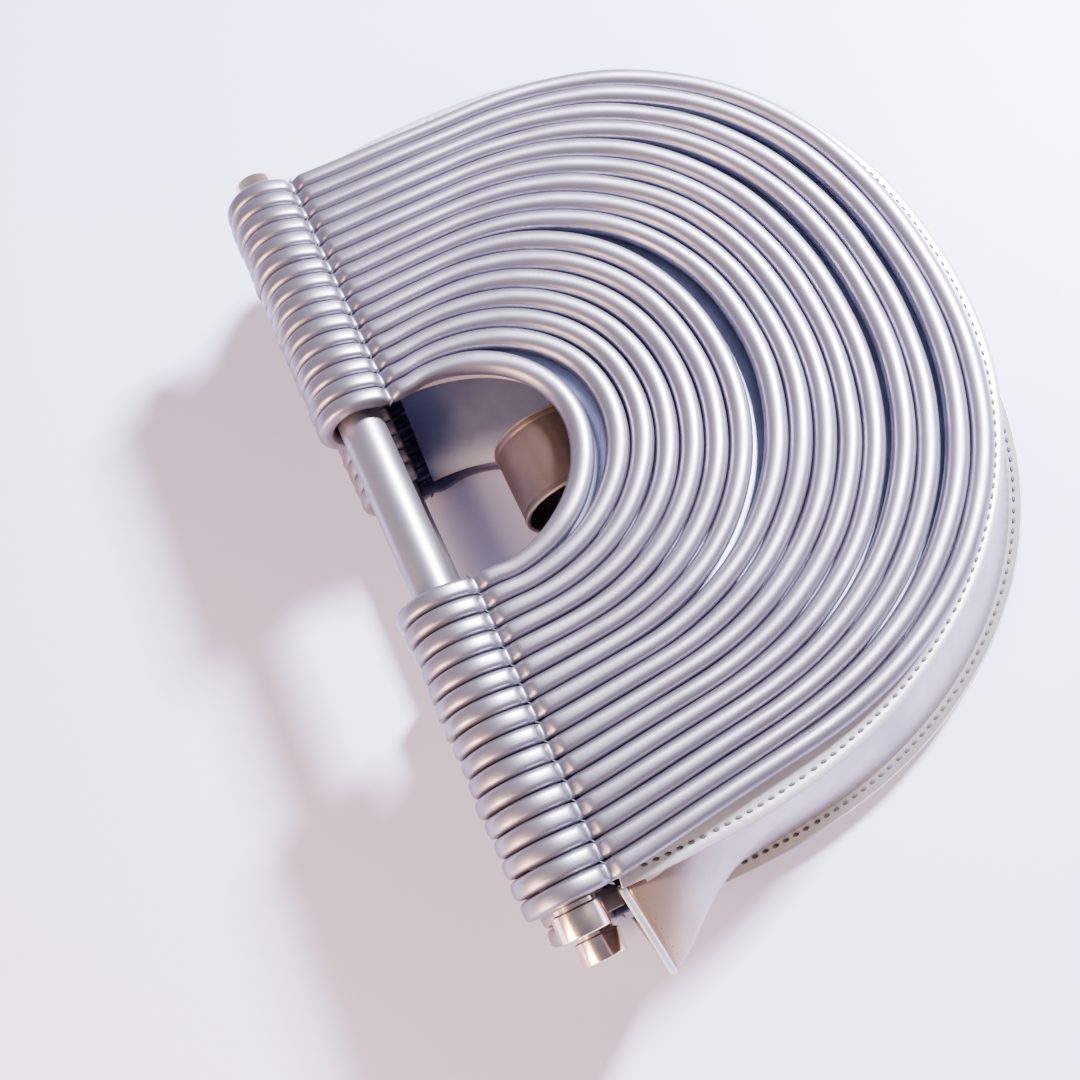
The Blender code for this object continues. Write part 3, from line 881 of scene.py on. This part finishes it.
def seam_stitches(name):
    """Dark stitches between the ribs, on the seam behind a rod."""
    panel = PANELS[name]
    turn = panel["matrix"].to_3x3()
    up = turn @ Vector((0, 0, 1))
    places = []
    for end in (-1, 1):
        for k in range(RIB_COUNT + 1):
            u = end * (HANDLE_LENGTH / 2 + k * RIB_PITCH)
            v = SEAM_REACH + random.uniform(-0.4, 0.4) * MM
            centre = panel["matrix"] @ Vector((u, v, SEAM_LEVEL))
            slant = Vector((random.uniform(0.5, 1.0) * end, 0.7, 0.2))
            places.append((centre, turn @ slant, up, 1.5 * MM, 0.4 * MM, 0.6 * MM))
    bead_row("%s_seam_stitches" % name, places, THREAD)


for name, phase in SWELL_PHASES.items():
    for inside in (False, True):
        flange_stitches(name, phase, inside)
    seam_stitches(name)

# %% [markdown]
# ## Gusset
# The gusset is one long strip between the two flanges. Round the bottom of the bag it stands
# nearly straight, a few millimetres inside the rim, and near the mouth it is folded outwards
# along its middle into a wing. It is a grid with its columns round the rim and its rows from
# the front flange over the fold to the back flange.

# %% Gusset surface


def gusset_row(points, outwards, inset, panel):
    """Points under a flange, in the bag's frame; inset is one length or one for each point."""
    uv = points - outwards * np.reshape(inset, (-1, 1))
    uv[:, 1] = np.maximum(uv[:, 1], SHEET_START + 0.3 * MM)
    return np.array([panel["matrix"] @ Vector((u + float(lean(panel, v)), v, GUSSET_LEVEL))
                     for u, v in uv])


def gusset_profile(front, fold, back, count):
    """Curve from front over the fold to back, with a rounded fold, as rows of points."""
    rows = []
    tip = math.sqrt(FOLD_ROUNDING)
    for t in np.linspace(-1, 1, count):
        reach = 1 - (math.sqrt(t * t + FOLD_ROUNDING) - tip) / (math.sqrt(1 + FOLD_ROUNDING) - tip)
        side = (front + back) / 2 * (1 - abs(t)) + (front if t < 0 else back) * abs(t)
        swell = reach + 0.10 * math.sin(math.pi * reach)
        rows.append(side + (fold - (front + back) / 2) * swell)
    return rows


def gusset_rows(columns):
    """All rows of the gusset."""
    points, outwards = rim_frame(columns)
    lengths = np.linspace(0, RIM_LENGTH, columns)
    from_end = np.minimum(lengths, RIM_LENGTH - lengths)
    wing = np.exp(-(from_end / WING_FADE) ** 1.5)
    root = SEAM_ALLOWANCE + (1.5 * MM - SEAM_ALLOWANCE) * wing
    front = gusset_row(points, outwards, root, PANELS["front"])
    back = gusset_row(points, outwards, root, PANELS["back"])
    reach = root + (-GUSSET_SINK + (WING_REACH + GUSSET_SINK) * wing)
    push = np.column_stack([outwards[:, 0] * reach, -outwards[:, 1] * reach - WING_SET_BACK * wing,
                            np.zeros(columns)])
    fold = (front + back) / 2 + push
    rows = [gusset_row(points, outwards, GUSSET_INSET, PANELS["front"])]
    rows += gusset_profile(front, fold, back, 23)
    rows.append(gusset_row(points, outwards, GUSSET_INSET, PANELS["back"]))
    return rows


def make_gusset():
    """Gusset as a thick strip."""
    rows = gusset_rows(GUSSET_COLUMNS)
    bm, where_is = grid(GUSSET_COLUMNS, len(rows))
    for vertex, (i, j) in where_is.items():
        vertex.co = rows[j][i]
    for face in bm.faces:
        face_rows = [where_is[vertex][1] for vertex in face.verts]
        # Painted light: the strips under the flanges take the lighter flange leather, against the
        # shade that falls beneath the flanges.
        face.material_index = 1 if min(face_rows) == 0 or max(face_rows) == len(rows) - 1 else 0
    obj = piece("folded_gusset", bm, [GUSSET_SHADED_LEATHER, FLANGE_LEATHER],
                replaces=["gusset"])
    thick = obj.modifiers.new("thickness", "SOLIDIFY")
    thick.thickness = GUSSET_THICKNESS
    thick.offset = 0


make_gusset()

# %% Bound edges of the wings
BINDING_HALF = 1.6 * MM


def make_binding(end):
    """Rolled binding along the mouth edge of a wing."""
    column = 0 if end > 0 else -1
    edge = np.array([row[column] for row in gusset_rows(GUSSET_COLUMNS)[1:-1]])
    edge[:, 1] += GUSSET_THICKNESS / 2 + BINDING_HALF * 0.55
    lengths = along(edge)
    wanted = np.linspace(1.2 * MM, lengths[-1] - 1.2 * MM, 70)
    points = resample(edge, wanted)
    tangents = np.gradient(points, axis=0)
    tangents /= np.linalg.norm(tangents, axis=1)[:, None]
    out = np.tile(np.array((0, 1.0, 0)), (len(points), 1))
    across = np.cross(tangents, out)
    across /= np.linalg.norm(across, axis=1)[:, None]
    out = np.cross(across, tangents)
    count = len(points)
    bm = rolled(points, across, out, np.full(count, BINDING_HALF * 0.85),
                np.full(count, BINDING_HALF), np.full(count, 2.3), 14, wanted)
    side = "right" if end > 0 else "left"
    rows = np.array(gusset_rows(GUSSET_COLUMNS)[1:-1])
    line = (rows[:, column + end] + rows[:, column + 2 * end]) / 2
    inwards = rows[:, column + 2 * end] - rows[:, column + end]
    places = []
    for length in np.arange(4 * MM, along(line)[-1] - 3 * MM, 5 * MM):
        k = int(np.searchsorted(along(line), length))
        tangent = line[min(k + 1, len(line) - 1)] - line[k - 1]
        normal = np.cross(tangent, inwards[k])
        centre = resample(line, np.array([length]))[0]
        places.append((Vector(centre), tangent, normal, 0.9 * MM, 0.45 * MM, 0.72 * MM))
    bead_row("wing_stitches_%s" % side, places, THREAD)
    piece("bound_wing_%s" % side, bm, [FLANGE_LEATHER],
          replaces=["wing_binding_" + side])


for end in (-1, 1):
    make_binding(end)

# %% [markdown]
# ## Closing strap
# A band turns over inside the hand opening. It is a strip of grained leather with a folded edge
# and a pressed groove along both sides, made as a grid bent round the line of the band.

# %% Strap
STRAP_LOW, STRAP_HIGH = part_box("closing_strap")
STRAP_THICKNESS = 2.2 * MM
STRAP_TURN = FIRST_RIB_DEPTH - 8.5 * MM
STRAP_END = FIRST_RIB_DEPTH + 22.5 * MM
STRAP_NOSE_SHARE = 0.95


def strap_line():
    """Line of the strap from under the front panel over the turn to the back panel."""
    level = SHEET_TOP - SHEET_THICKNESS - 0.4 * MM - STRAP_THICKNESS / 2
    corners = []
    for panel in PANELS.values():
        for v in (STRAP_END, STRAP_TURN):
            corners.append(panel["matrix"] @ Vector((0, v, level)))
    front_end, front_turn, back_end, back_turn = corners
    centre = (front_turn.z + back_turn.z) / 2
    half = (front_turn.z - back_turn.z) / 2
    line = [front_end]
    for angle in np.linspace(math.pi / 2, -math.pi / 2, 40):
        y = blend((back_turn.y, front_turn.y), (math.sin(angle) + 1) / 2)
        line.append(Vector((0, y + STRAP_NOSE_SHARE * half * math.cos(angle),
                            centre + half * math.sin(angle))))
    line.append(back_end)
    return np.array([(p.y, p.z) for p in line])


def make_strap():
    """Closing strap with raised folded edges."""
    line = strap_line()
    total = along(line)[-1]
    wanted = np.linspace(0, total, 120)
    points = resample(line, wanted)
    tangents = np.gradient(points, axis=0)
    tangents /= np.linalg.norm(tangents, axis=1)[:, None]
    columns = (0, 0.3, 0.9, 1.8, 2.6, 3.0, 3.6, 4.4, 8, 13, 18, 23, 28, 31.6, 32.4, 33.0, 33.4,
               34.2, 35.1, 35.7, 36)
    bm, where_is = grid(len(wanted), len(columns))
    width = STRAP_HIGH.x - STRAP_LOW.x
    for vertex, (i, j) in where_is.items():
        across = columns[j] * MM
        from_edge = min(across, columns[-1] * MM - across)
        fold = 0.35 * math.exp(-((from_edge - 1.5 * MM) / (1.5 * MM)) ** 4)
        groove = 0.3 * math.exp(-((from_edge - 3.2 * MM) / (0.5 * MM)) ** 2)
        lift = (fold - groove) * MM
        y, z = points[i] + np.array((tangents[i][1], -tangents[i][0])) * -lift
        x = STRAP_LOW.x + 0.2 * MM + across / (columns[-1] * MM) * (width - 0.4 * MM)
        vertex.co = (x, y, z)
    for face in bm.faces:
        face_columns = [where_is[vertex][1] for vertex in face.verts]
        if min(face_columns) < 2 or max(face_columns) > len(columns) - 3:
            face.material_index = 2
    obj = piece("turned_strap", bm, [STRAP_LEATHER, EDGE_PAINT, PIPING_LEATHER],
                replaces=["closing_strap"])
    thick = obj.modifiers.new("thickness", "SOLIDIFY")
    thick.thickness = STRAP_THICKNESS - 0.4 * MM
    thick.offset = 0
    thick.material_offset_rim = 1


make_strap()

# %% [markdown]
# ## Strap end
# A small dark leather end with a gold fitting lies under the front cap at one mouth corner.

# %% Leather end and fitting


def make_strap_end():
    """Dark leather end, a box with rounded edges, and its turned gold fitting."""
    turn = PANELS["front"]["matrix"].to_3x3().to_4x4()
    bm = bmesh.new()
    bmesh.ops.create_cube(bm, size=1.0, matrix=Matrix.Diagonal((8 * MM, 12 * MM, 3 * MM, 1)))
    bmesh.ops.bevel(bm, geom=bm.edges[:], offset=0.7 * MM, segments=3, profile=0.5,
                    affect="EDGES", material=-1)
    bmesh.ops.transform(bm, matrix=Matrix.Translation(middle("strap_end")) @ turn, verts=bm.verts)
    piece("dark_strap_end", bm, [DARK_LEATHER], replaces=["strap_end"])
    bm = bmesh.new()
    profile = ((0, 0), (2.6, 0), (3.0, 0.3), (3.1, 1.2), (2.5, 1.6), (2.5, 5.6), (3.1, 6.0),
               (3.1, 7.0), (2.8, 7.4), (0, 7.5))
    verts = [bm.verts.new((r * MM, 0, (z - 3.75) * MM)) for r, z in profile]
    edges = [bm.edges.new(pair) for pair in zip(verts, verts[1:])]
    bmesh.ops.spin(bm, geom=verts + edges, cent=(0, 0, 0), axis=(0, 0, 1),
                   angle=2 * math.pi, steps=32, use_merge=True)
    lay = Matrix.Rotation(math.pi / 2, 4, "X")
    place = Matrix.Translation(middle("strap_end_fitting")) @ turn @ lay
    bmesh.ops.transform(bm, matrix=place, verts=bm.verts)
    obj = piece("gold_fitting", bm, [ROSE_GOLD], replaces=["strap_end_fitting"])
    obj.data.set_sharp_from_angle(angle=math.radians(35))


make_strap_end()

# %% [markdown]
# ## Last step
# The view layer is updated.

# %% Finish
bpy.context.view_layer.update()
